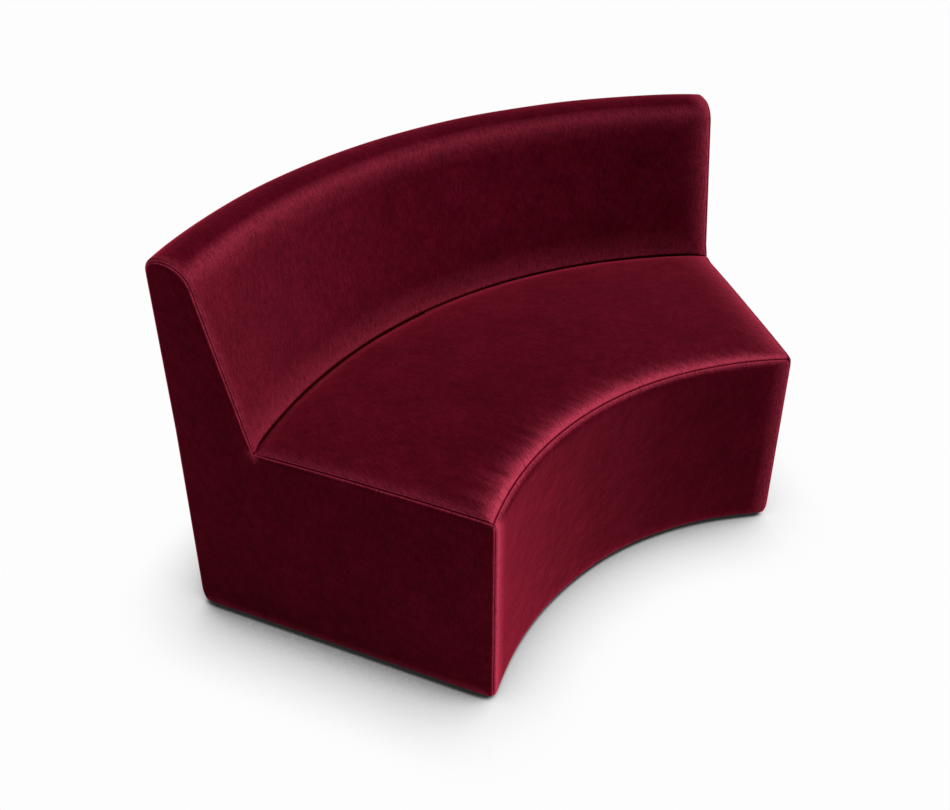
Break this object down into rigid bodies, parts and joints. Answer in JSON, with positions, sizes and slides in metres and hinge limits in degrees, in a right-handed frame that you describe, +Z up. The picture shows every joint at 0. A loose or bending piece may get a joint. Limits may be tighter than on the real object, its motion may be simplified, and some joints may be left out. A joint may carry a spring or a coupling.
{
  "type": "modular sofa",
  "caption": "Curved armless sofa module in burgundy velvet, with a crowned seat, a raked wrap-round back, flat ends, a recessed black plinth, levelling glides and swing-out linking plates.",
  "frame": {"origin": "centre of the bounding box on the floor, on the module's plane of symmetry", "axes": "+X along the seat towards the sitter's left, +Y from the concave front to the rear, +Z up"},
  "size_m": [1.4296, 0.8072, 0.808],
  "materials": {
    "velvet": "short cotton velvet pile",
    "foam": "open-cell upholstery foam",
    "plywood": "bare birch plywood",
    "timber": "planed softwood",
    "plinth_black": "matt black paint",
    "webbing": "woven elastic webbing",
    "dust_cloth": "spun-bonded black cloth",
    "steel": "zinc plated",
    "nylon": "moulded nylon"
  },
  "bodies": {
    "sofa": {"seat_cover": "velvet", "front_cover": "velvet", "inside_back_cover": "velvet", "outside_back_cover": "velvet", "right_end_cover": "velvet", "left_end_cover": "velvet", "seat_foam": "foam", "back_foam": "foam", "front_padding": "foam", "rear_padding": "foam", "right_end_padding": "foam", "left_end_padding": "foam", "base_board": "plywood", "right_end_board": "plywood", "left_end_board": "plywood", "front_panel": "plywood", "rear_panel": "plywood", "inner_back_panel": "plywood", "rib_left": "plywood", "rib_right": "plywood", "seat_front_rail": "timber", "seat_rear_rail": "timber", "back_top_rail": "timber", "corner_posts": "timber", "seat_webbing": "webbing", "plinth_front_rail": "plinth_black", "plinth_rear_rail": "plinth_black", "plinth_left_rail": "plinth_black", "plinth_right_rail": "plinth_black", "dust_cover": "dust_cloth", "plinth_screws": "steel", "tee_nuts": "steel", "pivot_bolts": "steel", "threaded_inserts": "steel"},
    "linking_plate_front": {"linking_plate_front": "steel"},
    "linking_plate_rear": {"linking_plate_rear": "steel"},
    "glide_pad_front_left": {"glide_pad_front_left": "nylon"},
    "glide_stem_front_left": {"glide_stem_front_left": "steel"},
    "glide_pad_front_middle": {"glide_pad_front_middle": "nylon"},
    "glide_stem_front_middle": {"glide_stem_front_middle": "steel"},
    "glide_pad_front_right": {"glide_pad_front_right": "nylon"},
    "glide_stem_front_right": {"glide_stem_front_right": "steel"},
    "glide_pad_rear_left": {"glide_pad_rear_left": "nylon"},
    "glide_stem_rear_left": {"glide_stem_rear_left": "steel"},
    "glide_pad_rear_middle": {"glide_pad_rear_middle": "nylon"},
    "glide_stem_rear_middle": {"glide_stem_rear_middle": "steel"},
    "glide_pad_rear_right": {"glide_pad_rear_right": "nylon"},
    "glide_stem_rear_right": {"glide_stem_rear_right": "steel"}
  },
  "joints": [
    {"name": "linking_plate_front_swing", "type": "hinge", "parent": "sofa", "child": "linking_plate_front", "pos_m": [-0.44062, -0.25165, 0.0085], "axis": [0, 0, 1], "range_deg": [0, 90]},
    {"name": "linking_plate_rear_swing", "type": "hinge", "parent": "sofa", "child": "linking_plate_rear", "pos_m": [-0.60656, 0.05652, 0.0085], "axis": [0, 0, -1], "range_deg": [0, 90]},
    {"name": "glide_front_left_drop", "type": "slide", "parent": "sofa", "child": "glide_pad_front_left", "axis": [0, 0, -1], "range_m": [0, 0.006]},
    {"name": "glide_front_left_turn", "type": "hinge", "parent": "glide_pad_front_left", "child": "glide_stem_front_left", "pos_m": [-0.37049, -0.27012, 0.016], "axis": [0, 0, -1], "range_deg": [0, 1728]},
    {"name": "glide_front_middle_drop", "type": "slide", "parent": "sofa", "child": "glide_pad_front_middle", "axis": [0, 0, -1], "range_m": [0, 0.006]},
    {"name": "glide_front_middle_turn", "type": "hinge", "parent": "glide_pad_front_middle", "child": "glide_stem_front_middle", "pos_m": [0, -0.17851, 0.016], "axis": [0, 0, -1], "range_deg": [0, 1728]},
    {"name": "glide_front_right_drop", "type": "slide", "parent": "sofa", "child": "glide_pad_front_right", "axis": [0, 0, -1], "range_m": [0, 0.006]},
    {"name": "glide_front_right_turn", "type": "hinge", "parent": "glide_pad_front_right", "child": "glide_stem_front_right", "pos_m": [0.37049, -0.27012, 0.016], "axis": [0, 0, -1], "range_deg": [0, 1728]},
    {"name": "glide_rear_left_drop", "type": "slide", "parent": "sofa", "child": "glide_pad_rear_left", "axis": [0, 0, -1], "range_m": [0, 0.006]},
    {"name": "glide_rear_left_turn", "type": "hinge", "parent": "glide_pad_rear_left", "child": "glide_stem_rear_left", "pos_m": [-0.5906, 0.13868, 0.016], "axis": [0, 0, -1], "range_deg": [0, 1728]},
    {"name": "glide_rear_middle_drop", "type": "slide", "parent": "sofa", "child": "glide_pad_rear_middle", "axis": [0, 0, -1], "range_m": [0, 0.006]},
    {"name": "glide_rear_middle_turn", "type": "hinge", "parent": "glide_pad_rear_middle", "child": "glide_stem_rear_middle", "pos_m": [0, 0.30863, 0.016], "axis": [0, 0, -1], "range_deg": [0, 1728]},
    {"name": "glide_rear_right_drop", "type": "slide", "parent": "sofa", "child": "glide_pad_rear_right", "axis": [0, 0, -1], "range_m": [0, 0.006]},
    {"name": "glide_rear_right_turn", "type": "hinge", "parent": "glide_pad_rear_right", "child": "glide_stem_rear_right", "pos_m": [0.5906, 0.13868, 0.016], "axis": [0, 0, -1], "range_deg": [0, 1728]}
  ],
  "couplings": [
    {"joint": "glide_front_left_drop", "follows": "glide_front_left_turn", "m_per_rad": 0.00019894},
    {"joint": "glide_front_middle_drop", "follows": "glide_front_middle_turn", "m_per_rad": 0.00019894},
    {"joint": "glide_front_right_drop", "follows": "glide_front_right_turn", "m_per_rad": 0.00019894},
    {"joint": "glide_rear_left_drop", "follows": "glide_rear_left_turn", "m_per_rad": 0.00019894},
    {"joint": "glide_rear_middle_drop", "follows": "glide_rear_middle_turn", "m_per_rad": 0.00019894},
    {"joint": "glide_rear_right_drop", "follows": "glide_rear_right_turn", "m_per_rad": 0.00019894}
  ]
}
